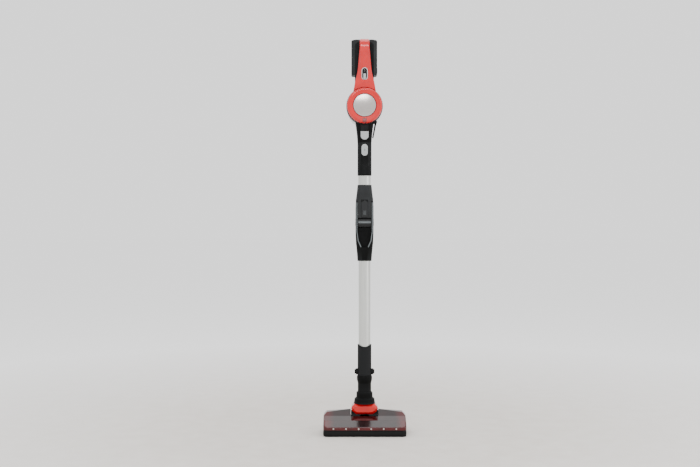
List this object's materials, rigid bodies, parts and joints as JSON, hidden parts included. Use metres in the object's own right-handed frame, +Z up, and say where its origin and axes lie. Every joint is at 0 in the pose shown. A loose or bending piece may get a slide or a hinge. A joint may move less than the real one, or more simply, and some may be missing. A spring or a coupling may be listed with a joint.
{
  "type": "cordless stick vacuum",
  "caption": "Upright cordless stick vacuum: hand unit with battery and dust container, wand with a folding knee, and a powered floor head on a tilting, swivelling neck.",
  "frame": {"origin": "on the floor, under the wand's axis, with the head's sole on the floor", "axes": "+Z up along the wand, -Y towards the front of the machine, +X to the right as seen from the front"},
  "size_m": [0.256, 0.1934, 1.24],
  "materials": {
    "red_abs": "glossy injection-moulded ABS",
    "dark_red": "glossy moulded ABS",
    "red_tint": "glossy tinted translucent plastic",
    "black_abs": "fine moulded texture",
    "battery_abs": "fine moulded texture",
    "housing_grey": "moulded",
    "satin_silver": "satin metallic paint",
    "silver_button": "metallic paint on plastic",
    "trim_grey": "moulded",
    "chrome": "plated",
    "aluminium_tube": "brushed and anodised",
    "smoked_clear": "smoky clear plastic",
    "steel": "turned",
    "impeller_nylon": "moulded nylon",
    "filter_white": "pleated fleece",
    "foam": "open foam",
    "board_green": "laminate",
    "cell_wrap": "shrink wrap",
    "socket_black": "moulded",
    "rubber": "moulded",
    "roll_core": "moulded",
    "bristle": "nylon bristles",
    "led_clear": "clear lens"
  },
  "bodies": {
    "hand_unit": {"motor_housing": "housing_grey", "red_ring": "red_abs", "disc_cap": "satin_silver", "ring_tab": "dark_red", "red_spine": "red_abs", "grip": "black_abs", "switch_bezel": "chrome", "switch_plate": "black_abs", "motor_can": "steel", "exhaust_filter": "foam", "control_board": "board_green", "neck_shell": "black_abs", "battery_rails": "black_abs"},
    "power_slider": {"power_slider": "silver_button"},
    "container_button": {"container_button": "silver_button"},
    "release_lever": {"release_lever": "black_abs"},
    "impeller": {"impeller": "impeller_nylon", "motor_shaft": "steel"},
    "battery": {"battery_shell": "battery_abs", "battery_cells": "cell_wrap", "charge_socket": "socket_black"},
    "battery_latch": {"battery_latch": "battery_abs"},
    "container": {"dust_container": "smoked_clear", "container_collar": "black_abs", "filter_core": "impeller_nylon", "filter_pleats": "filter_white", "container_seal": "rubber", "lid_pin": "steel"},
    "container_lid": {"container_lid": "black_abs"},
    "upper_wand": {"tube_collar": "black_abs", "upper_tube": "aluminium_tube", "flex_upper_shell": "black_abs", "flex_bar": "trim_grey", "flex_hose": "rubber"},
    "tube_button": {"tube_button": "silver_button"},
    "flex_button": {"flex_button": "trim_grey"},
    "lower_wand": {"flex_lower_shell": "black_abs", "flex_trim": "trim_grey", "flex_pins": "steel", "lower_tube": "aluminium_tube", "lower_sleeve": "black_abs"},
    "lug_left": {"lug_left": "black_abs"},
    "lug_right": {"lug_right": "black_abs"},
    "neck": {"nozzle_neck": "black_abs", "neck_collar": "black_abs"},
    "yoke": {"red_yoke": "red_abs", "yoke_duct": "black_abs"},
    "head": {"head_cover": "red_tint", "head_base": "black_abs", "tilt_pins": "steel", "led_board": "board_green", "led_lenses": "led_clear", "brush_motor": "steel", "drive_belt": "rubber", "sole_screws": "steel"},
    "motor_pulley": {"motor_pulley": "black_abs"},
    "brush": {"brush_core": "roll_core", "brush_bristles": "bristle"},
    "wheel_left": {"wheel_left": "rubber"},
    "wheel_right": {"wheel_right": "rubber"}
  },
  "joints": [
    {"name": "power_slide", "type": "slide", "parent": "hand_unit", "child": "power_slider", "axis": [0, 0, 1], "range_m": [0, 0.016]},
    {"name": "container_press", "type": "slide", "parent": "hand_unit", "child": "container_button", "axis": [0, 1, 0], "range_m": [0, 0.0015], "stiffness_N_per_m": 600},
    {"name": "lever_swing", "type": "hinge", "parent": "hand_unit", "child": "release_lever", "pos_m": [0.036, 0, 0.971], "axis": [0, -1, 0], "range_deg": [0, 18], "stiffness_Nm_per_rad": 0.4},
    {"name": "impeller_spin", "type": "hinge", "parent": "hand_unit", "child": "impeller", "pos_m": [0, 0, 1.02], "axis": [0, 1, 0], "continuous": true},
    {"name": "battery_lift", "type": "slide", "parent": "hand_unit", "child": "battery", "axis": [0, 0, 1], "range_m": [0, 0.097]},
    {"name": "battery_latch_press", "type": "slide", "parent": "battery", "child": "battery_latch", "axis": [-1, 0, 0], "range_m": [0, 0.0015], "stiffness_N_per_m": 600},
    {"name": "container_pull", "type": "slide", "parent": "hand_unit", "child": "container", "axis": [0, 1, 0], "range_m": [0, 0.09]},
    {"name": "lid_swing", "type": "hinge", "parent": "container", "child": "container_lid", "pos_m": [0, 0.0995, 0.9624], "axis": [-1, 0, 0], "range_deg": [0, 95]},
    {"name": "wand_pull", "type": "slide", "parent": "hand_unit", "child": "upper_wand", "axis": [0, 0, -1], "range_m": [0, 0.06]},
    {"name": "tube_press", "type": "slide", "parent": "upper_wand", "child": "tube_button", "axis": [0, 1, 0], "range_m": [0, 0.0015], "stiffness_N_per_m": 600},
    {"name": "flex_press", "type": "slide", "parent": "upper_wand", "child": "flex_button", "axis": [0, 1, 0], "range_m": [0, 0.0015], "stiffness_N_per_m": 600},
    {"name": "knee_fold", "type": "hinge", "parent": "upper_wand", "child": "lower_wand", "pos_m": [0, 0, 0.657], "axis": [-1, 0, 0], "range_deg": [0, 85], "deforming": ["flex_hose"]},
    {"name": "lug_left_press", "type": "slide", "parent": "lower_wand", "child": "lug_left", "axis": [1, 0, 0], "range_m": [0, 0.002], "stiffness_N_per_m": 600},
    {"name": "lug_right_press", "type": "slide", "parent": "lower_wand", "child": "lug_right", "axis": [-1, 0, 0], "range_m": [0, 0.002], "stiffness_N_per_m": 600},
    {"name": "nozzle_pull", "type": "slide", "parent": "lower_wand", "child": "neck", "axis": [0, 0, -1], "range_m": [0, 0.058]},
    {"name": "neck_swivel", "type": "hinge", "parent": "neck", "child": "yoke", "pos_m": [0, 0, 0.088], "axis": [0, 0, 1], "range_deg": [-80, 80]},
    {"name": "head_tilt", "type": "hinge", "parent": "yoke", "child": "head", "pos_m": [0, 0, 0.046], "axis": [1, 0, 0], "range_deg": [0, 75]},
    {"name": "brush_spin", "type": "hinge", "parent": "head", "child": "brush", "pos_m": [0, -0.062, 0.0195], "axis": [1, 0, 0], "continuous": true},
    {"name": "pulley_spin", "type": "hinge", "parent": "head", "child": "motor_pulley", "pos_m": [0, -0.01, 0.032], "axis": [1, 0, 0], "continuous": true},
    {"name": "wheel_left_roll", "type": "hinge", "parent": "head", "child": "wheel_left", "pos_m": [-0.068, 0.013, 0.009], "axis": [1, 0, 0], "continuous": true},
    {"name": "wheel_right_roll", "type": "hinge", "parent": "head", "child": "wheel_right", "pos_m": [0.068, 0.013, 0.009], "axis": [1, 0, 0], "continuous": true}
  ],
  "couplings": [
    {"joint": "pulley_spin", "follows": "brush_spin", "ratio": 1.6364}
  ]
}
